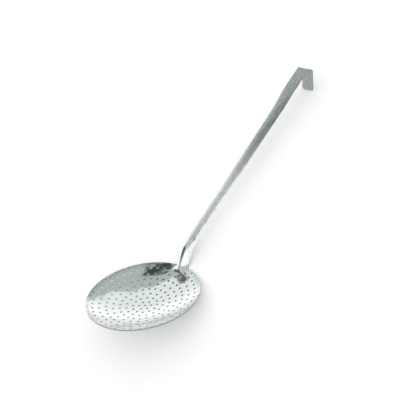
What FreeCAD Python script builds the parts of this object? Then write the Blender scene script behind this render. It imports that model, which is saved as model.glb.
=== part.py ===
"""One-piece skimmer: a perforated shallow dish, a formed neck, a channel handle and a hook,
pressed and folded from a single piece of steel sheet. It is modelled level, with the middle of
the rim at the origin and the handle towards +X, and then laid down as it rests on a table."""
import FreeCAD, Part
import math
import os

import Sketcher
from FreeCAD import Placement, Rotation, Vector

os.makedirs("parts", exist_ok=True)
doc = FreeCAD.newDocument("Skimmer")

# Driving sizes, in millimetres and degrees
SIZES = [
    ("dish_diameter", 160.0),
    ("dish_depth", 18.0),
    ("sheet_thickness", 1.5),
    ("hole_diameter", 3.0),
    ("inner_ring_pitch", 8.6),
    ("outer_ring_pitch", 9.1),
    ("pattern_turn", 3.7),
    ("root_clearance", 0.8),
    ("foot_inset", 10.7),
    ("foot_width", 26.0),
    ("rim_neck_width", 20.4),
    ("throat_width", 17.0),
    ("neck_end_width", 15.4),
    ("ramp_angle", 55.6),
    ("ramp_length", 35.2),
    ("neck_bend_radius", 60.0),
    ("neck_rise", 12.6),
    ("throat_depth", 9.8),
    ("neck_end_depth", 7.2),
    ("neck_run", 24.0),
    ("handle_angle", 25.8),
    ("handle_length", 336.0),
    ("web_width", 8.0),
    ("web_crown", 8.0),
    ("fold_radius", 2.5),
    ("channel_width", 13.6),
    ("channel_depth", 5.6),
    ("channel_end_width", 16.4),
    ("channel_end_depth", 4.3),
    ("runout_length", 62.0),
    ("flat_length", 30.0),
    ("strip_width", 19.4),
    ("hook_first_turn", 56.5),
    ("hook_first_radius", 1.2),
    ("hook_top_length", 11.5),
    ("hook_second_turn", 69.1),
    ("hook_second_radius", 2.6),
    ("tail_length", 32.0),
    ("tail_corner_radius", 2.6),
]
sheet = doc.addObject("Spreadsheet::Sheet", "Sizes")
for row, (alias, value) in enumerate(SIZES, start=1):
    sheet.set("A%d" % row, alias)
    sheet.set("B%d" % row, str(value))
    sheet.setAlias("B%d" % row, alias)
doc.recompute()


def size(alias):
    """The number in the sheet's cell of that name."""
    return float(sheet.get(alias))


# Holes in each ring of the dish from the middle outwards, and the one ring that sits half a pitch round
RING_COUNTS = (6, 12, 16, 24, 24, 36, 36, 45)
INNER_RINGS = 3
HALF_PITCH_RING = 7

dish_radius = size("dish_diameter") / 2
thickness = size("sheet_thickness")
depth = size("dish_depth")
sphere_height = (dish_radius ** 2 - depth ** 2) / (2 * depth)
sphere_radius = sphere_height + depth
outer_radius = sphere_radius + thickness
sphere_centre = Vector(0, 0, sphere_height)
# The spheres' seams are turned to where no hole crosses them
SEAM_TURN = 145.7


def dish_height(x, y):
    """Height of the dish's upper surface over the plan point."""
    return sphere_height - math.sqrt(sphere_radius ** 2 - x * x - y * y)


def origin_plane(body, role):
    """The body's own origin plane with that role."""
    return next(f for f in body.Origin.OriginFeatures if f.Role == role)


def constrain(sketch, *terms, formula=None):
    """Add one constraint, and bind it to the sheet where a formula is given."""
    index = sketch.addConstraint(Sketcher.Constraint(*terms))
    if formula:
        sketch.setExpression("Constraints[%d]" % index, formula)


# Dish: a cap of a sphere in sheet of even thickness, the space between two spheres inside a cylinder
RADIUS_RULE = "((Sizes.dish_diameter / 2) ^ 2 + Sizes.dish_depth ^ 2) / (2 * Sizes.dish_depth)"
HEIGHT_RULE = "((Sizes.dish_diameter / 2) ^ 2 - Sizes.dish_depth ^ 2) / (2 * Sizes.dish_depth)"
upper_sphere = doc.addObject("Part::Sphere", "UpperSphere")
upper_sphere.setExpression("Radius", RADIUS_RULE)
lower_sphere = doc.addObject("Part::Sphere", "LowerSphere")
lower_sphere.setExpression("Radius", RADIUS_RULE + " + Sizes.sheet_thickness")
for ball in (upper_sphere, lower_sphere):
    ball.setExpression("Placement.Base.z", HEIGHT_RULE)
blank = doc.addObject("Part::Cylinder", "Blank")
for round_form in (upper_sphere, lower_sphere, blank):
    round_form.Placement.Rotation = Rotation(Vector(0, 0, 1), SEAM_TURN)
blank.setExpression("Radius", "Sizes.dish_diameter / 2")
blank.setExpression("Height", "Sizes.dish_depth * 3")
blank.setExpression("Placement.Base.z", "-Sizes.dish_depth * 2")
hollowed = doc.addObject("Part::Cut", "HollowedBlank")
hollowed.Base = blank
hollowed.Tool = upper_sphere
dish = doc.addObject("Part::Common", "Dish")
dish.Base = hollowed
dish.Tool = lower_sphere
doc.recompute()

# Ridge of the neck and handle: up a straight ramp from the foot line, round the bend, then straight
foot_x = dish_radius - size("foot_inset")
ramp_angle = math.radians(size("ramp_angle"))
handle_angle = math.radians(size("handle_angle"))
bend_radius = size("neck_bend_radius")
bend_turn = ramp_angle - handle_angle
bend_tangent = bend_radius * math.tan(bend_turn / 2)
ramp_straight = size("ramp_length") - bend_tangent
neck_end = ramp_straight + bend_radius * bend_turn
ridge_length = neck_end + size("handle_length") - bend_tangent
foot_slope = math.asin(foot_x / sphere_radius)
foot_lean = (foot_slope + ramp_angle) / 2


def ridge(distance):
    """Point on the ridge at that distance from the foot line, and the slope there."""
    straight = min(distance, ramp_straight)
    slope = ramp_angle - min(max(distance - ramp_straight, 0) / bend_radius, bend_turn)
    rest = max(distance - neck_end, 0)
    x = foot_x + straight * math.cos(ramp_angle) + rest * math.cos(slope)
    z = dish_height(foot_x, 0) + straight * math.sin(ramp_angle) + rest * math.sin(slope)
    x += bend_radius * (math.sin(ramp_angle) - math.sin(slope))
    z += bend_radius * (math.cos(slope) - math.cos(ramp_angle))
    return Vector(x, 0, z), slope


def ease(value, low, high):
    """Smooth step from 0 at low to 1 at high."""
    part = min(max((value - low) / (high - low), 0), 1)
    return part * part * (3 - 2 * part)


def lean_at(distance):
    """How far the section planes lean back: halving the fold at the foot, square to the handle later."""
    return foot_lean + (handle_angle - foot_lean) * ease(distance, 0, neck_end)


class Half:
    """Half of a cross section's upper line, from the middle outwards, as stretches of (length, turn)."""

    def __init__(self, half_web, web_turn, fold, flank, flare):
        corner = size("fold_radius") * max(abs(fold), LEAST_FOLD)
        self.stretches = [(half_web, web_turn), (corner, fold), (flank, 0.0), (corner, -fold * flare)]

    def at(self, walked):
        """Distance from the middle, drop and heading after that much of the line."""
        y = drop = heading = 0.0
        for length, turn in self.stretches:
            step = min(walked, length)
            walked -= step
            if abs(turn) < 1e-9 or length < 1e-9:
                y += step * math.cos(heading)
                drop += step * math.sin(heading)
                continue
            radius = length / turn
            after = heading + step / radius
            y += radius * (math.sin(after) - math.sin(heading))
            drop += radius * (math.cos(heading) - math.cos(after))
            heading = after
        return y, drop, heading

    def length(self):
        """Length of the whole line."""
        return sum(length for length, _ in self.stretches)

    def end(self):
        """Distance from the middle, drop and heading at the line's end."""
        return self.at(self.length())


def fitted_half(half_web, web_turn, half_width, drop, flare):
    """The half section whose end stands at the half width and the drop."""
    low, high = math.radians(-20), math.radians(88) - web_turn
    for _ in range(60):
        fold = (low + high) / 2
        bare = Half(half_web, web_turn, fold, 0.0, flare).end()[0]
        longer = Half(half_web, web_turn, fold, 1.0, flare).end()[0]
        flank = max((half_width - bare) / (longer - bare), 0.05)
        half = Half(half_web, web_turn, fold, flank, flare)
        if half.end()[1] < drop:
            low = fold
        else:
            high = fold
    return half


def placer(distance, lean):
    """How a point of a cross section is put in its plane at that distance along the ridge."""
    top = ridge(distance)[0]
    down = Vector(math.sin(lean), 0, -math.cos(lean))
    return lambda y, drop: top + Vector(0, y, 0) + down * drop


# Stations along the neck: its ends lie on the dish up to the rim, and are free beyond it
foot_half = size("foot_width") / 2
rim_half = size("rim_neck_width") / 2
throat_half = size("throat_width") / 2
end_half = size("neck_end_width") / 2
channel_half = size("channel_width") / 2
runout_half = size("channel_end_width") / 2
strip_half = size("strip_width") / 2
web_half = size("web_width") / 2
crown = math.radians(size("web_crown"))
neck_rise = size("neck_rise")
channel_start = neck_end + size("neck_run")
flat_start = ridge_length - size("flat_length")
runout_start = flat_start - size("runout_length")
RIDGE_HALF = 0.5
ACROSS = 16
RIM_BLEND = 0.35
LEAST_FOLD = 0.1
# The root's edges are sunk in the dish's sheet and thinned there, so that the two join in one body
SUNK = 0.25
THINNED = 0.6
FOOT_OVERLAP = 0.6
HOLLOW_START = 1.2


def between(start, end, share):
    """The value that share of the way from start to end."""
    return start + (end - start) * share


def root_half(distance):
    """Section inside the rim, whose flared ends lie in the dish's sheet, and its drop."""
    top = ridge(distance)[0]
    lean = lean_at(distance)
    half_width = between(foot_half, rim_half, ease(distance, 0, neck_rise))
    drop = 0.0
    for _ in range(30):
        x = top.x + drop * math.sin(lean)
        drop = (top.z - dish_height(x, half_width) + SUNK) / math.cos(lean)
    return fitted_half(RIDGE_HALF, 0.0, half_width, drop, 1.0), drop


def through(marks, distance, start_slope):
    """Value at the distance on a smooth line through the marks, level at the last one."""
    slopes = [start_slope]
    for before, after in zip(marks, marks[2:]):
        slopes.append((after[1] - before[1]) / (after[0] - before[0]))
    slopes.append(0.0)
    index = max(i for i, mark in enumerate(marks[:-1]) if i == 0 or mark[0] <= distance)
    (x0, y0), (x1, y1) = marks[index], marks[index + 1]
    span = x1 - x0
    share = min(max((distance - x0) / span, 0), 1)
    rest = 1 - share
    return ((1 + 2 * share) * rest ** 2 * y0 + share ** 2 * (3 - 2 * share) * y1
            + share * rest ** 2 * span * slopes[index] - share ** 2 * rest * span * slopes[index + 1])


def neck_half(distance):
    """Section from the rim to the straight channel, with free edges, and its drop."""
    share = min((distance - neck_rise) / (neck_end - neck_rise), 1)
    flare = 1 - ease(share, 0, RIM_BLEND)
    drop = through(neck_depths, distance, rim_deepening)
    return fitted_half(between(RIDGE_HALF, web_half, share), crown * share,
                       through(neck_halves, distance, 0.0), drop, flare), drop


def channel_half_section(distance):
    """Section of the straight handle up to where the strip is flat, and its drop."""
    if distance < runout_start:
        share = (distance - channel_start) / (runout_start - channel_start)
        half_width = between(channel_half, runout_half, share)
        drop = between(size("channel_depth"), size("channel_end_depth"), share)
        return fitted_half(half_width - (channel_half - web_half), crown, half_width, drop, 0.0), drop
    opening = ease(distance, runout_start, flat_start)
    half_width = between(runout_half, strip_half, opening)
    half_web = between(runout_half - channel_half + web_half, strip_half - 1.0, opening)
    if opening == 1:
        return Half(half_web, 0.0, 0.0, strip_half - half_web, 0.0), 0.0
    drop = size("channel_end_depth") * (1 - opening)
    return fitted_half(half_web, crown * (1 - opening), half_width, drop, 0.0), drop


rim_drop = root_half(neck_rise)[1]
rim_deepening = rim_drop - root_half(neck_rise - 1)[1]
neck_depths = [(neck_rise, rim_drop), (between(neck_rise, neck_end, 0.45), size("throat_depth")),
               (neck_end, size("neck_end_depth")), (channel_start, size("channel_depth"))]
neck_halves = [(neck_rise, rim_half), (between(neck_rise, neck_end, RIM_BLEND), throat_half),
               (neck_end, end_half), (channel_start, channel_half)]


def section(distance):
    """How a length walked along half of the upper line becomes a point of either face."""
    slope = ridge(distance)[1]
    lean = lean_at(distance)
    end_slope, edge_fill, middle_fill = slope, 1.0, 1.0
    if distance <= neck_rise:
        half, drop = root_half(distance)
        end_slope = foot_slope
        edge_fill = THINNED
        middle_fill = between(THINNED, 1, ease(distance, -FOOT_OVERLAP, HOLLOW_START))
    elif distance < channel_start:
        half, drop = neck_half(distance)
        end_slope = (slope + lean) / 2
        edge_fill = between(THINNED, 1, ease(distance, neck_rise, between(neck_rise, neck_end, 0.2)))
    else:
        half, drop = channel_half_section(distance)
    place = placer(distance, lean)

    def point(walked, side, face):
        y, down, heading = half.at(walked)
        share = min(max(down / max(drop, 0.5), 0), 1)
        tilt = between(slope, end_slope, share) - lean
        through_sheet = face * thickness * between(middle_fill, edge_fill, share)
        through_sheet *= math.hypot(1, math.cos(heading) * math.tan(tilt))
        return place(side * (y - through_sheet * math.sin(heading)),
                     down + through_sheet * math.cos(heading))

    return half, point


def lines_at(distance):
    """Points across the sheet at that distance, of its upper and of its lower face."""
    half, point = section(distance)
    steps = [half.length() * index / ACROSS for index in range(-ACROSS, ACROSS + 1)]
    return [[point(abs(step), math.copysign(1, step), face) for step in steps] for face in (0, 1)]


def skin(stations, face):
    """One smooth surface through the points of all the stations on that face of the sheet."""
    surface = Part.BSplineSurface()
    surface.interpolate([lines[face] for lines in stations])
    return surface


def spline(points):
    """A curve through the points."""
    curve = Part.BSplineCurve()
    curve.interpolate(points)
    return curve


def outline(upper, lower):
    """Closed outline of the sheet between its upper and its lower line."""
    left = Part.LineSegment(upper.StartPoint, lower.StartPoint)
    right = Part.LineSegment(upper.EndPoint, lower.EndPoint)
    return Part.Wire([line.toShape() for line in (upper, right, lower, left)])


def ruled(first, second):
    """The face drawn by straight lines from one curve to the other."""
    return Part.makeRuledSurface(first.toShape(), second.toShape())


def spaced(start, end, count):
    """Distances from the start, without the end."""
    return [between(start, end, index / count) for index in range(count)]


# Neck between two smooth skins, then the handle ruled from section to section
neck_stations = [lines_at(distance) for distance in
                 spaced(-FOOT_OVERLAP, neck_rise, 6) + spaced(neck_rise, neck_end, 12)
                 + spaced(neck_end, channel_start, 6) + [channel_start]]
upper_skin = skin(neck_stations, 0)
lower_skin = skin(neck_stations, 1)
foot, joint, left_edge, right_edge = upper_skin.bounds()
faces = [upper_skin.toShape(), lower_skin.toShape(),
         ruled(upper_skin.uIso(foot), lower_skin.uIso(foot)),
         ruled(upper_skin.vIso(left_edge), lower_skin.vIso(left_edge)),
         ruled(upper_skin.vIso(right_edge), lower_skin.vIso(right_edge))]
channel_wires = [outline(upper_skin.uIso(joint), lower_skin.uIso(joint))]
for distance in [runout_start] + spaced(runout_start, flat_start, 8)[1:] + [flat_start]:
    channel_wires.append(outline(*[spline(points) for points in lines_at(distance)]))
channel = Part.makeLoft(channel_wires, False, True)
shell = Part.makeShell(faces + channel.Faces + [Part.Face(channel_wires[-1])])
shell.sewShape()
handle = doc.addObject("Part::Feature", "NeckAndHandle")
handle.Shape = Part.Solid(shell)

# Space under the root of the neck, taken out of the dish so that the underside is open
HOLLOW_SHARE = 0.68
HOLLOW_PAST_RIM = 6


def hollow_wire(distance):
    """Outline of the space under the sheet, from its middle plane down past the dish."""
    half, point = section(distance)
    lean = lean_at(distance)
    reach = Vector(math.sin(lean), 0, -math.cos(lean)) * 4 * thickness
    steps = [half.length() * HOLLOW_SHARE * index / 8 for index in range(-8, 9)]
    points = [point(abs(step), math.copysign(1, step), 0.5) for step in steps]
    return Part.makePolygon(points + [points[-1] + reach, points[0] + reach, points[0]])


hollow = doc.addObject("Part::Feature", "RootHollow")
hollow.Shape = Part.makeLoft(
    [hollow_wire(distance) for distance in
     (HOLLOW_START, neck_rise / 2, neck_rise, neck_rise + HOLLOW_PAST_RIM)], True, True)

# Flat end and hook: a bent strip
hook_body = doc.addObject("PartDesign::Body", "HookBody")
bent = hook_body.newObject("Sketcher::SketchObject", "BentStrip")
bent.AttachmentSupport = (origin_plane(hook_body, "XZ_Plane"), "")
bent.MapMode = "FlatFace"
facing = Vector(0, 0, 1)
first_turn = math.radians(size("hook_first_turn"))
second_turn = math.radians(size("hook_second_turn"))
first_radius = size("hook_first_radius")
second_radius = size("hook_second_radius")
TANGENT = "(Sizes.hook_%s_radius + Sizes.sheet_thickness) * tan(Sizes.hook_%s_turn * 1 deg / 2)"
FIRST_TANGENT = TANGENT % ("first", "first")
SECOND_TANGENT = TANGENT % ("second", "second")
first_tangent = (first_radius + thickness) * math.tan(first_turn / 2)
second_tangent = (second_radius + thickness) * math.tan(second_turn / 2)
flat_straight = size("flat_length") - first_tangent
top_straight = size("hook_top_length") - first_tangent - second_tangent
tail_straight = size("tail_length") - second_tangent


def bent_line(offset):
    """Straight, bend, straight, bend and straight of the strip's face at that depth in the sheet."""
    start = Vector(0, -offset, 0)
    heading = 0.0
    pieces = []
    for straight, turn, radius in ((flat_straight, first_turn, first_radius),
                                   (top_straight, second_turn, second_radius),
                                   (tail_straight, 0, 0)):
        along = Vector(math.cos(heading), math.sin(heading), 0)
        corner = start + along * straight
        pieces.append(Part.LineSegment(start, corner))
        if turn:
            reach = radius + thickness - offset
            middle = corner + Vector(math.sin(heading), -math.cos(heading), 0) * reach
            upper = heading + math.pi / 2
            pieces.append(Part.ArcOfCircle(Part.Circle(middle, facing, reach), upper - turn, upper))
            heading -= turn
            start = middle + Vector(-math.sin(heading), math.cos(heading), 0) * reach
    return pieces


outer_line = bent_line(0)
inner_line = bent_line(thickness)
START, END, CENTRE = 1, 2, 3
ORIGIN = -1
FLAT, BEND_1, TOP, BEND_2, TAIL = range(5)
INNER = 5
BACK, TIP = 10, 11
bent.addGeometry(outer_line + inner_line + [
    Part.LineSegment(outer_line[FLAT].StartPoint, inner_line[FLAT].StartPoint),
    Part.LineSegment(outer_line[TAIL].EndPoint, inner_line[TAIL].EndPoint),
], False)
for face in (0, INNER):
    constrain(bent, "Tangent", face + FLAT, END, face + BEND_1, END)
    constrain(bent, "Tangent", face + BEND_1, START, face + TOP, START)
    constrain(bent, "Tangent", face + TOP, END, face + BEND_2, END)
    constrain(bent, "Tangent", face + BEND_2, START, face + TAIL, START)
    constrain(bent, "Coincident", BACK, START if face == 0 else END, face + FLAT, START)
    constrain(bent, "Coincident", TIP, START if face == 0 else END, face + TAIL, END)
    constrain(bent, "Horizontal", face + FLAT)
constrain(bent, "Coincident", FLAT, START, ORIGIN, START)
constrain(bent, "Coincident", BEND_1, CENTRE, INNER + BEND_1, CENTRE)
constrain(bent, "Coincident", BEND_2, CENTRE, INNER + BEND_2, CENTRE)
constrain(bent, "Vertical", BACK)
constrain(bent, "Perpendicular", TIP, TAIL)
constrain(bent, "Parallel", TAIL, INNER + TAIL)
constrain(bent, "Parallel", TOP, INNER + TOP)
constrain(bent, "Distance", BACK, thickness, formula="Sizes.sheet_thickness")
constrain(bent, "Radius", INNER + BEND_1, first_radius, formula="Sizes.hook_first_radius")
constrain(bent, "Radius", INNER + BEND_2, second_radius, formula="Sizes.hook_second_radius")
constrain(bent, "Angle", BEND_1, first_turn, formula="Sizes.hook_first_turn * 1 deg")
constrain(bent, "Angle", BEND_2, second_turn, formula="Sizes.hook_second_turn * 1 deg")
constrain(bent, "Distance", FLAT, flat_straight,
          formula="Sizes.flat_length - " + FIRST_TANGENT)
constrain(bent, "Distance", TOP, top_straight,
          formula="Sizes.hook_top_length - " + FIRST_TANGENT + " - " + SECOND_TANGENT)
constrain(bent, "Distance", TAIL, tail_straight,
          formula="Sizes.tail_length - " + SECOND_TANGENT)
strip = hook_body.newObject("PartDesign::Pad", "Strip")
strip.Profile = bent
strip.Midplane = True
strip.setExpression("Length", "Sizes.strip_width")
doc.recompute()
tip = outer_line[TAIL].EndPoint
tip_edges = []
for index, edge in enumerate(strip.Shape.Edges, start=1):
    middle = edge.CenterOfMass
    near = math.hypot(middle.x - tip.x, middle.z - tip.y) < thickness
    if near and abs(edge.Length - thickness) < 1e-4 and abs(middle.y) > strip_half - 1e-4:
        tip_edges.append("Edge%d" % index)
rounded = hook_body.newObject("PartDesign::Fillet", "TailCorners")
rounded.Base = (strip, tip_edges)
rounded.setExpression("Radius", "Sizes.tail_corner_radius")
hook_body.Placement = Placement(ridge(flat_start)[0],
                                Rotation(Vector(0, 1, 0), -math.degrees(handle_angle)))
doc.recompute()

# Perforation: straight holes square to the sheet, in rings, left out where the neck stands
hole_radius = size("hole_diameter") / 2
clearance = size("root_clearance")
pattern_turn = math.radians(size("pattern_turn"))


def drill(outward):
    """A round bar square to the sheet, with its axis from the spheres' centre, so it cuts true circles."""
    wall = Part.Cylinder()
    wall.Center = sphere_centre
    wall.Axis = outward
    wall.Radius = hole_radius
    side = wall.toShape(0, 2 * math.pi, sphere_radius - thickness, outer_radius + thickness)
    circles = [edge for edge in side.Edges if abs(edge.Length - 2 * math.pi * hole_radius) < 1e-6]
    bar = Part.Solid(Part.Shell([side] + [Part.Face(Part.Wire([circle])) for circle in circles]))
    bar.fix(1e-7, 1e-7, 1e-7)
    return bar


drills = []
spots = [(0.0, 0.0)]
ring_radius = 0.0
for ring, count in enumerate(RING_COUNTS, start=1):
    ring_radius += size("inner_ring_pitch") if ring <= INNER_RINGS else size("outer_ring_pitch")
    first = pattern_turn + (math.pi / count if ring == HALF_PITCH_RING else 0.0)
    for index in range(count):
        angle = first + 2 * math.pi * index / count
        spots.append((ring_radius * math.cos(angle), ring_radius * math.sin(angle)))
for x, y in spots:
    beyond_foot = x > foot_x - hole_radius - clearance
    if beyond_foot and abs(y) < foot_half + hole_radius + clearance:
        continue
    drills.append(drill((Vector(x, y, dish_height(x, y)) - sphere_centre).normalize()))
perforation = doc.addObject("Part::Feature", "Perforation")
perforation.Shape = Part.makeCompound(drills)

perforated = doc.addObject("Part::Cut", "PerforatedDish")
perforated.Base = dish
perforated.Tool = perforation
opened = doc.addObject("Part::Cut", "OpenedDish")
opened.Base = perforated
opened.Tool = hollow
skimmer = doc.addObject("Part::MultiFuse", "SkimmerShape")
skimmer.Shapes = [opened, handle, hook_body]
skimmer.Label = "skimmer"
doc.recompute()

# Rest: the tail's lowest edge and the dish's underside share the table plane
back_turn = Rotation(Vector(0, 1, 0), -math.degrees(handle_angle))
tail_edges = []
for line in (outer_line, inner_line):
    end = line[TAIL].EndPoint
    tail_edges.append(ridge(flat_start)[0] + back_turn.multVec(Vector(end.x, 0, end.y)))
low, high = 0.0, math.asin(dish_radius / outer_radius)
for _ in range(60):
    tilt = (low + high) / 2
    down = Vector(math.sin(tilt), 0, -math.cos(tilt))
    tail_reach = max(edge.dot(down) for edge in tail_edges)
    if tail_reach > sphere_centre.dot(down) + outer_radius:
        high = tilt
    else:
        low = tilt
laid = Rotation(Vector(0, 1, 0), math.degrees(tilt))
skimmer.Placement = Placement(Vector(0, 0, 0), laid)
doc.recompute()
box = skimmer.Shape.optimalBoundingBox(False)
lift = sphere_centre.dot(down) + outer_radius
skimmer.Placement = Placement(Vector(-(box.XMin + box.XMax) / 2, 0, lift), laid)
doc.recompute()

for thing in doc.Objects:
    if "Invalid" in thing.State or "Error" in thing.State:
        raise RuntimeError("%s is not valid: %s" % (thing.Name, thing.State))
    shape = getattr(thing, "Shape", None)
    if shape is not None and (shape.isNull() or not shape.isValid()):
        raise RuntimeError("%s has a bad shape" % thing.Name)
if len(skimmer.Shape.Solids) != 1:
    raise RuntimeError("the skimmer is in %d pieces" % len(skimmer.Shape.Solids))
skimmer.Shape.exportStep("parts/skimmer.step")
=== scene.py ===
"""Looks of the skimmer: polished dish, brushed handle and hook, and a pale studio round them."""
import math

import bmesh
import bpy
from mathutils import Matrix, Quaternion, Vector


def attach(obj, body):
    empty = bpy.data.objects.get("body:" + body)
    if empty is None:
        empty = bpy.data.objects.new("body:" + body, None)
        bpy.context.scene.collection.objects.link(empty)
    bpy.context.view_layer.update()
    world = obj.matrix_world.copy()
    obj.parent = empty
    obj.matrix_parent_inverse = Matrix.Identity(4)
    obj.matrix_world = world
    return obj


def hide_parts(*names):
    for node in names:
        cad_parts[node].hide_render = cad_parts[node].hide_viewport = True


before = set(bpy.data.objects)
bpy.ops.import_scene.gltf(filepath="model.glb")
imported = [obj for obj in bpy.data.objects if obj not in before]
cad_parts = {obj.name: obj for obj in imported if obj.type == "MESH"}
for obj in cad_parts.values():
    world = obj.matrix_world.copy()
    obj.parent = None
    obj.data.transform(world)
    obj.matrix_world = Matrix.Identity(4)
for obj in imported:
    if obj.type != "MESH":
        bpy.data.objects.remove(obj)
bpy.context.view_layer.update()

# The dish's own sizes, in metres, as it is drawn and laid down
DISH_RADIUS = 0.080
DISH_DEPTH = 0.018
SHEET = 0.0015
TILT = math.radians(23.1233)
INNER_RADIUS = (DISH_RADIUS ** 2 + DISH_DEPTH ** 2) / (2 * DISH_DEPTH)
OUTER_RADIUS = INNER_RADIUS + SHEET
RIM_MIDDLE = Vector((-0.17946, 0.0, 0.03306))
DISH_AXIS = Vector((math.sin(TILT), 0.0, math.cos(TILT)))
SPHERE_CENTRE = RIM_MIDDLE + DISH_AXIS * (INNER_RADIUS - DISH_DEPTH)
DISH_BOTTOM = RIM_MIDDLE - DISH_AXIS * DISH_DEPTH
# Straight distances from the dish's bottom at which the rim's darker mottled band, a painted
# reflection of the dish itself, starts and is full
RIM_REFLECTION_FROM = 0.0745
RIM_REFLECTION_FULL = 0.0790

# Where the bright neck ends and the brushed handle begins
NECK_X = -0.075
HANDLE_X = -0.045
# Between these the handle goes from a painted highlight to a darker tone
HIGHLIGHT_TO_X = 0.020
DARKER_FROM_X = 0.110


# Materials

def new_material(name):
    """A new material with its node tree and its shader."""
    material = bpy.data.materials.new(name)
    material.use_nodes = True
    tree = material.node_tree
    return material, tree, tree.nodes["Principled BSDF"]


def add(tree, kind, **settings):
    """A node with its inputs and settings filled in by name."""
    node = tree.nodes.new(kind)
    for key, value in settings.items():
        if key in node.inputs:
            node.inputs[key].default_value = value
        else:
            setattr(node, key, value)
    return node


def mapped(tree, scale):
    """Object coordinates stretched by those factors."""
    place = add(tree, "ShaderNodeTexCoord")
    stretch = add(tree, "ShaderNodeMapping")
    stretch.inputs["Scale"].default_value = scale
    tree.links.new(place.outputs["Object"], stretch.inputs["Vector"])
    return stretch.outputs["Vector"]


def noise(tree, scale, detail, roughness=0.5):
    """A noise pattern on object coordinates, stretched by those factors."""
    pattern = add(tree, "ShaderNodeTexNoise", Scale=1.0, Detail=detail, Roughness=roughness)
    tree.links.new(mapped(tree, scale), pattern.inputs["Vector"])
    return pattern.outputs["Fac"]


def ranged(tree, value, low, high, out_low, out_high):
    """A value moved from one range to another."""
    node = tree.nodes.new("ShaderNodeMapRange")
    limits = {"From Min": low, "From Max": high, "To Min": out_low, "To Max": out_high}
    for key, number in limits.items():
        node.inputs[key].default_value = number
    tree.links.new(value, node.inputs["Value"])
    return node.outputs["Result"]


def tinted(tree, value, dark, light, low, high):
    """Colour between two tones, by a pattern's value."""
    ramp = tree.nodes.new("ShaderNodeValToRGB")
    for element, position, tone in zip(ramp.color_ramp.elements, (low, high), (dark, light)):
        element.position = position
        element.color = (*tone, 1)
    tree.links.new(value, ramp.inputs["Fac"])
    return ramp.outputs["Color"]


def blended(tree, share, first, second):
    """Colour that goes from the first to the second as the share goes from 0 to 1."""
    tone = add(tree, "ShaderNodeMix", data_type="RGBA")
    for key, source in (("Factor", share), ("A", first), ("B", second)):
        tree.links.new(source, tone.inputs[key])
    return tone.outputs["Result"]


def bumped(tree, pattern, distance, strength=1.0, under=None):
    """Bump from a pattern, over another bump where there is one."""
    bump = add(tree, "ShaderNodeBump", Strength=strength, Distance=distance)
    tree.links.new(pattern, bump.inputs["Height"])
    if under is not None:
        tree.links.new(under.outputs["Normal"], bump.inputs["Normal"])
    return bump


POLISH_TONES = (0.70, 0.725, 0.72), (0.77, 0.785, 0.78)
# Darker tones of the painted reflection band at the rim
RIM_REFLECTION_TONES = (0.34, 0.36, 0.355), (0.74, 0.755, 0.75)
# Tones of the painted highlight at the neck and lower handle, and of the darker handle towards the
# hook
PAINTED_HIGHLIGHT_TONES = (0.70, 0.72, 0.71), (0.97, 0.975, 0.97)
DARKER_HANDLE_TONES = (0.30, 0.33, 0.315), (0.53, 0.56, 0.54)
CUT_TONES = (0.20, 0.21, 0.21), (0.34, 0.36, 0.355)
DENT_DEPTH = 0.0004
MARK_DEPTH = 0.0002


def polished_steel():
    """Drawn and polished sheet of the dish: cloudy gloss, shallow dents and a darker mottled band at
    the rim that is a painted reflection of the dish itself.
    """
    material, tree, shader = new_material("polished_steel")
    shader.inputs["Metallic"].default_value = 1.0
    clouds = noise(tree, (28, 28, 28), 4.0, 0.55)
    place = add(tree, "ShaderNodeTexCoord")
    away = add(tree, "ShaderNodeVectorMath", operation="DISTANCE")
    tree.links.new(place.outputs["Object"], away.inputs[0])
    away.inputs[1].default_value = DISH_BOTTOM
    # A darker mottled band at the rim: a painted reflection of the dish itself, blended over the
    # polish
    rim_reflection_mask = ranged(tree, away.outputs["Value"], RIM_REFLECTION_FROM, RIM_REFLECTION_FULL, 0, 1)
    polish = tinted(tree, clouds, *POLISH_TONES, 0.3, 0.7)
    painted_rim_reflection = tinted(tree, noise(tree, (420, 420, 420), 3.0), *RIM_REFLECTION_TONES, 0.36, 0.60)
    tree.links.new(blended(tree, rim_reflection_mask, polish, painted_rim_reflection), shader.inputs["Base Color"])
    tree.links.new(ranged(tree, clouds, 0.25, 0.75, 0.07, 0.15), shader.inputs["Roughness"])
    dents = bumped(tree, noise(tree, (85, 85, 85), 1.5), DENT_DEPTH)
    tree.links.new(ranged(tree, rim_reflection_mask, 0, 1, 0.8, 1.0), dents.inputs["Strength"])
    marks = bumped(tree, noise(tree, (900, 240, 900), 2.0), MARK_DEPTH, 0.06, dents)
    tree.links.new(marks.outputs["Normal"], shader.inputs["Normal"])
    return material


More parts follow.
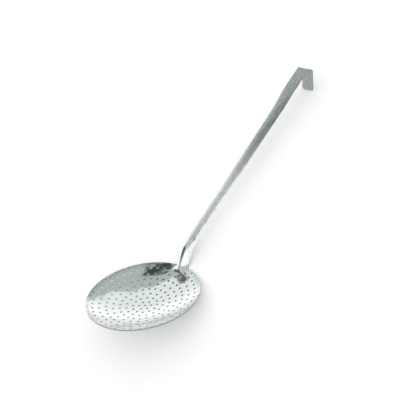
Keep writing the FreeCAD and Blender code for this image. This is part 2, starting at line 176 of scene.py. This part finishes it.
def brushed_steel():
    """Folded sheet of the neck, handle and hook: a painted highlight over the neck and lower handle,
    fading to a darker tone towards the hook.
    """
    material, tree, shader = new_material("brushed_steel")
    shader.inputs["Metallic"].default_value = 1.0
    place = add(tree, "ShaderNodeTexCoord")
    along = add(tree, "ShaderNodeSeparateXYZ")
    tree.links.new(place.outputs["Object"], along.inputs["Vector"])
    grain = noise(tree, (170, 620, 620), 4.0, 0.6)
    # Near-white tone at the neck and lower handle is a painted highlight, fading to a darker tone
    # towards the hook
    highlight_fade = ranged(tree, along.outputs["X"], HIGHLIGHT_TO_X, DARKER_FROM_X, 0, 1)
    painted_highlight = tinted(tree, grain, *PAINTED_HIGHLIGHT_TONES, 0.36, 0.60)
    darker_handle = tinted(tree, grain, *DARKER_HANDLE_TONES, 0.35, 0.65)
    tree.links.new(blended(tree, highlight_fade, painted_highlight, darker_handle), shader.inputs["Base Color"])
    lines = noise(tree, (45, 2200, 2200), 3.0)
    gloss = add(tree, "ShaderNodeMath", operation="ADD")
    tree.links.new(ranged(tree, lines, 0.3, 0.7, -0.05, 0.06), gloss.inputs[0])
    tree.links.new(ranged(tree, along.outputs["X"], NECK_X, HANDLE_X, 0.17, 0.34), gloss.inputs[1])
    tree.links.new(gloss.outputs["Value"], shader.inputs["Roughness"])
    brushing = bumped(tree, lines, MARK_DEPTH, 0.10)
    tree.links.new(brushing.outputs["Normal"], shader.inputs["Normal"])
    return material


def cut_steel():
    """Sheared edge of the sheet and walls of the punched holes: duller, with streaks across."""
    material, tree, shader = new_material("cut_steel")
    shader.inputs["Metallic"].default_value = 1.0
    shader.inputs["Roughness"].default_value = 0.38
    streaks = noise(tree, (1500, 1500, 200), 2.0)
    tree.links.new(tinted(tree, streaks, *CUT_TONES, 0.3, 0.7), shader.inputs["Base Color"])
    return material


# The sheet: a merged copy of the solid with the true normals of the dish's spheres

MERGE = 2e-7
ON_SPHERE = 0.00003
ALONG_SPHERE = 0.99
FOLD_LIMIT = math.radians(34)
DISH_EDGE_LIMIT = 0.1
# A patch whose area is less than this much of its border is a cut edge or the wall of a hole
NARROW = 0.0011
POLISHED, BRUSHED, CUT = range(3)


def dish_side(face):
    """1 for the dish's upper face, -1 for its lower one and 0 elsewhere."""
    for radius, side in ((INNER_RADIUS, 1), (OUTER_RADIUS, -1)):
        if all(abs((vertex.co - SPHERE_CENTRE).length - radius) < ON_SPHERE for vertex in face.verts):
            towards = (SPHERE_CENTRE - face.calc_center_median()).normalized()
            if face.normal.dot(towards) * side > ALONG_SPHERE:
                return side
    return 0


def smooth_patches(work):
    """Groups of faces that sharp edges divide from each other."""
    seen = set()
    for start in work.faces:
        if start in seen:
            continue
        seen.add(start)
        patch, waiting = [], [start]
        while waiting:
            face = waiting.pop()
            patch.append(face)
            for edge in face.edges:
                for other in edge.link_faces:
                    if edge.smooth and other not in seen:
                        seen.add(other)
                        waiting.append(other)
        yield patch


def sheet_piece():
    """The whole skimmer, with its dish, folded and cut faces in their own finishes."""
    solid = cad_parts["skimmer"]
    mesh = bpy.data.meshes.new("skimmer_sheet")
    work = bmesh.new()
    work.from_mesh(solid.data)
    bmesh.ops.remove_doubles(work, verts=work.verts, dist=MERGE)
    work.normal_update()
    sides = []
    for face in work.faces:
        side = dish_side(face)
        sides.append(side)
        face.smooth = True
        face.material_index = POLISHED if side else BRUSHED
    work.faces.index_update()
    for edge in work.edges:
        first, second = edge.link_faces
        apart = sides[first.index] != sides[second.index]
        edge.smooth = edge.calc_face_angle(0) <= (DISH_EDGE_LIMIT if apart else FOLD_LIMIT)
    for patch in smooth_patches(work):
        area = sum(face.calc_area() for face in patch)
        border = sum(edge.calc_length() for face in patch for edge in face.edges
                     if not edge.smooth)
        if area < border * NARROW:
            for face in patch:
                face.material_index = CUT
    work.to_mesh(mesh)
    work.free()
    normals = [Vector(corner.vector) for corner in mesh.corner_normals]
    for polygon in mesh.polygons:
        side = sides[polygon.index]
        if side:
            for loop in polygon.loop_indices:
                point = mesh.vertices[mesh.loops[loop].vertex_index].co
                normals[loop] = (SPHERE_CENTRE - point).normalized() * side
    mesh.normals_split_custom_set(normals)
    piece = bpy.data.objects.new("skimmer_sheet", mesh)
    bpy.context.scene.collection.objects.link(piece)
    for material in (polished_steel(), brushed_steel(), cut_steel()):
        mesh.materials.append(material)
    return piece


sheet = sheet_piece()
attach(sheet, "root")
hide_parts("skimmer")

# The holes' lips: the punch leaves a soft ring round each hole

RING_COUNTS = (6, 12, 16, 24, 24, 36, 36, 45)
INNER_PITCH = 0.0086
OUTER_PITCH = 0.0091
INNER_RINGS = 3
HALF_PITCH_RING = 7
PATTERN_TURN = math.radians(3.7)
# No hole lies past the first of these and within the second, where the neck stands
NECK_CLEAR_X = 0.0670
NECK_CLEAR_Y = 0.0153
HOLE_RADIUS = 0.0015
LIP_WIDTH = 0.0004
LIP_HEIGHT = 0.00010
LIP_SEGMENTS = 12
PROFILE_POINTS = 4


def on_dish(x, y):
    """Point of the dish's upper face over that spot of the rim's plane."""
    height = INNER_RADIUS - DISH_DEPTH - math.sqrt(INNER_RADIUS ** 2 - x * x - y * y)
    forward = Vector((math.cos(TILT), 0, -math.sin(TILT)))
    return RIM_MIDDLE + forward * x + Vector((0, y, 0)) + DISH_AXIS * height


def hole_middles():
    """Middle of each hole, in rings from the dish's middle outwards."""
    spots = [on_dish(0, 0)]
    radius = 0.0
    for ring, count in enumerate(RING_COUNTS, start=1):
        radius += INNER_PITCH if ring <= INNER_RINGS else OUTER_PITCH
        turn = 0.5 if ring == HALF_PITCH_RING else 0.0
        for step in range(count):
            angle = PATTERN_TURN + 2 * math.pi * (step + turn) / count
            x, y = radius * math.cos(angle), radius * math.sin(angle)
            if x < NECK_CLEAR_X or abs(y) > NECK_CLEAR_Y:
                spots.append(on_dish(x, y))
    return spots


def lips_tree(finish):
    """Nodes that stand a soft ring round each point, square to the dish."""
    tree = bpy.data.node_groups.new("hole_lips", "GeometryNodeTree")
    tree.is_modifier = True
    sockets = {}
    for name, kind in (("Geometry", "Geometry"), ("Hole Radius", "Float"), ("Lip Width", "Float"),
                       ("Lip Height", "Float"), ("Segments", "Int"), ("Profile Points", "Int"),
                       ("Sphere Centre", "Vector")):
        sockets[name] = tree.interface.new_socket(name, in_out="INPUT",
                                                  socket_type="NodeSocket" + kind)
    tree.interface.new_socket("Geometry", in_out="OUTPUT", socket_type="NodeSocketGeometry")
    given = tree.nodes.new("NodeGroupInput").outputs
    link = tree.links.new

    def maths(operation, first, second):
        node = add(tree, "ShaderNodeMath", operation=operation)
        for socket, value in zip(node.inputs, (first, second)):
            if isinstance(value, (int, float)):
                socket.default_value = value
            else:
                link(value, socket)
        return node.outputs["Value"]

    half_width = maths("MULTIPLY", given["Lip Width"], 0.5)
    ring = add(tree, "GeometryNodeCurvePrimitiveCircle", mode="RADIUS")
    link(given["Segments"], ring.inputs["Resolution"])
    link(maths("ADD", given["Hole Radius"], half_width), ring.inputs["Radius"])
    profile = add(tree, "GeometryNodeCurvePrimitiveCircle", mode="RADIUS")
    link(given["Profile Points"], profile.inputs["Resolution"])
    link(half_width, profile.inputs["Radius"])
    flatten = add(tree, "ShaderNodeCombineXYZ", X=1.0, Z=1.0)
    link(maths("DIVIDE", given["Lip Height"], half_width), flatten.inputs["Y"])
    squeezed = add(tree, "GeometryNodeTransform")
    link(profile.outputs["Curve"], squeezed.inputs["Geometry"])
    link(flatten.outputs["Vector"], squeezed.inputs["Scale"])
    lip = add(tree, "GeometryNodeCurveToMesh")
    link(ring.outputs["Curve"], lip.inputs["Curve"])
    link(squeezed.outputs["Geometry"], lip.inputs["Profile Curve"])
    inward = add(tree, "ShaderNodeVectorMath", operation="SUBTRACT")
    link(given["Sphere Centre"], inward.inputs[0])
    link(add(tree, "GeometryNodeInputPosition").outputs["Position"], inward.inputs[1])
    square = add(tree, "FunctionNodeAlignRotationToVector", axis="Z")
    link(inward.outputs["Vector"], square.inputs["Vector"])
    placed = add(tree, "GeometryNodeInstanceOnPoints")
    link(given["Geometry"], placed.inputs["Points"])
    link(lip.outputs["Mesh"], placed.inputs["Instance"])
    link(square.outputs["Rotation"], placed.inputs["Rotation"])
    real = add(tree, "GeometryNodeRealizeInstances")
    link(placed.outputs["Instances"], real.inputs["Geometry"])
    finished = add(tree, "GeometryNodeSetMaterial", Material=finish)
    link(real.outputs["Geometry"], finished.inputs["Geometry"])
    link(finished.outputs["Geometry"], tree.nodes.new("NodeGroupOutput").inputs["Geometry"])
    return tree, sockets


def lips_piece():
    """The lips of all the holes, as one plain mesh."""
    mesh = bpy.data.meshes.new("hole_middles")
    mesh.from_pydata(hole_middles(), [], [])
    piece = bpy.data.objects.new("hole_lips", mesh)
    bpy.context.scene.collection.objects.link(piece)
    tree, sockets = lips_tree(sheet.data.materials[POLISHED])
    modifier = piece.modifiers.new("hole_lips", "NODES")
    modifier.node_group = tree
    for name, value in (("Hole Radius", HOLE_RADIUS), ("Lip Width", LIP_WIDTH),
                        ("Lip Height", LIP_HEIGHT), ("Segments", LIP_SEGMENTS),
                        ("Profile Points", PROFILE_POINTS), ("Sphere Centre", SPHERE_CENTRE)):
        modifier[sockets[name].identifier] = value
    evaluated = piece.evaluated_get(bpy.context.evaluated_depsgraph_get())
    result = bpy.data.meshes.new_from_object(evaluated)
    piece.modifiers.remove(modifier)
    result.name = "hole_lips"
    result.materials.clear()
    result.materials.append(sheet.data.materials[POLISHED])
    for polygon in result.polygons:
        polygon.use_smooth = True
    piece.data = result
    return piece


lips = lips_piece()
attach(lips, "root")

# Studio: pale floor, walls of light behind and in front, greyer surroundings overhead

REACH = 6.0
floor_mesh = bpy.data.meshes.new("studio_floor")
floor_mesh.from_pydata([(-REACH, -REACH, 0), (REACH, -REACH, 0),
                        (REACH, REACH, 0), (-REACH, REACH, 0)], [], [(0, 1, 2, 3)])
floor = bpy.data.objects.new("studio_floor", floor_mesh)
bpy.context.scene.collection.objects.link(floor)
floor_material, floor_tree, floor_shader = new_material("pale_floor")
floor_shader.inputs["Base Color"].default_value = (0.96, 0.96, 0.96, 1)
floor_shader.inputs["Roughness"].default_value = 0.9
floor_shader.inputs["Specular IOR Level"].default_value = 0.0
floor_mesh.materials.append(floor_material)

LIGHTING = 1.0
WHITE = (1, 1, 1)
OVERHEAD = (0.54, 0.59, 0.585)
# Heights of the sky's direction between which white turns to the tone overhead
WHITE_TO = 0.03
OVERHEAD_FROM = 0.3
world = bpy.data.worlds.new("studio")
bpy.context.scene.world = world
world.use_nodes = True
tree = world.node_tree
tree.nodes.clear()
output = tree.nodes.new("ShaderNodeOutputWorld")
seen = tree.nodes.new("ShaderNodeBackground")
light = tree.nodes.new("ShaderNodeBackground")
light.inputs["Color"].default_value = (*WHITE, 1)
light.inputs["Strength"].default_value = LIGHTING
direction = tree.nodes.new("ShaderNodeTexCoord")
upward = tree.nodes.new("ShaderNodeSeparateXYZ")
tree.links.new(direction.outputs["Generated"], upward.inputs["Vector"])
tree.links.new(tinted(tree, upward.outputs["Z"], WHITE, OVERHEAD, WHITE_TO, OVERHEAD_FROM),
               seen.inputs["Color"])
path = tree.nodes.new("ShaderNodeLightPath")
eyes = add(tree, "ShaderNodeMath", operation="MAXIMUM")
rays = add(tree, "ShaderNodeMath", operation="MAXIMUM")
tree.links.new(path.outputs["Is Camera Ray"], eyes.inputs[0])
tree.links.new(path.outputs["Is Glossy Ray"], eyes.inputs[1])
tree.links.new(eyes.outputs[0], rays.inputs[0])
tree.links.new(path.outputs["Is Transmission Ray"], rays.inputs[1])
mix = tree.nodes.new("ShaderNodeMixShader")
tree.links.new(rays.outputs[0], mix.inputs["Fac"])
tree.links.new(light.outputs["Background"], mix.inputs[1])
tree.links.new(seen.outputs["Background"], mix.inputs[2])
tree.links.new(mix.outputs["Shader"], output.inputs["Surface"])


def around(distance, azimuth, height):
    """Point at that distance from the dish, in that direction over the floor, and that high."""
    turn = math.radians(azimuth)
    return Vector((RIM_MIDDLE.x + distance * math.cos(turn), distance * math.sin(turn), height))


def wall_of_light(name, distance, azimuth, width, height, brightness):
    """A soft lamp that stands on the floor and faces the dish."""
    data = bpy.data.lights.new(name, "AREA")
    data.shape = "RECTANGLE"
    data.size = width
    data.size_y = height
    data.energy = brightness * math.pi * width * height
    lamp = bpy.data.objects.new(name, data)
    bpy.context.scene.collection.objects.link(lamp)
    lamp.location = around(distance, azimuth, height / 2)
    lamp.rotation_euler = (math.pi / 2, 0, math.radians(azimuth + 90))
    lamp.visible_camera = False


def dark_card(name, distance, azimuth, width, low, high, shade):
    """A grey card that only the steel sees, for the dark lines in its reflections."""
    turn = math.radians(azimuth)
    side = Vector((-math.sin(turn), math.cos(turn), 0)) * width / 2
    foot = around(distance, azimuth, low)
    rise = Vector((0, 0, high - low))
    mesh = bpy.data.meshes.new(name)
    mesh.from_pydata([foot - side, foot + side, foot + side + rise, foot - side + rise],
                     [], [(0, 1, 2, 3)])
    card = bpy.data.objects.new(name, mesh)
    bpy.context.scene.collection.objects.link(card)
    material, card_tree, shader = new_material(name)
    shader.inputs["Base Color"].default_value = (*shade, 1)
    shader.inputs["Roughness"].default_value = 1.0
    mesh.materials.append(material)
    card.visible_camera = False
    card.visible_diffuse = False
    card.visible_shadow = False


wall_of_light("back_wall", 2.4, 64, 5.0, 2.16, 0.47)
wall_of_light("front_wall", 2.2, -122, 2.4, 3.2, 0.6)
dark_card("side_card", 2.0, 114, 1.9, 1.15, 3.1, (0.03, 0.04, 0.035))
dark_card("top_card", 1.9, 44, 1.0, 2.35, 3.5, (0.02, 0.025, 0.03))
dark_card("neck_card", 2.0, 62.5, 0.20, 1.12, 1.75, (0.02, 0.022, 0.022))
dark_card("right_card", 2.0, -62, 1.3, 0.02, 1.1, (0.10, 0.105, 0.105))

# Camera at the photograph's angle
EYE = Vector((-0.61384, -1.07891, 1.20113))
AHEAD = Vector((0.35068547, 0.64025764, -0.68344476))
ROLL = math.radians(-33.7675)
camera_data = bpy.data.cameras.new("camera")
camera_data.sensor_width = 36
camera_data.lens = 108
camera_data.shift_x = -0.00125
camera_data.shift_y = 0.00125
camera_data.clip_end = 50
camera = bpy.data.objects.new("camera", camera_data)
bpy.context.scene.collection.objects.link(camera)
camera.location = EYE
camera.rotation_mode = "QUATERNION"
camera.rotation_quaternion = AHEAD.to_track_quat("-Z", "Y") @ Quaternion((0, 0, 1), ROLL)
bpy.context.scene.camera = camera
bpy.context.scene.view_settings.view_transform = "Standard"
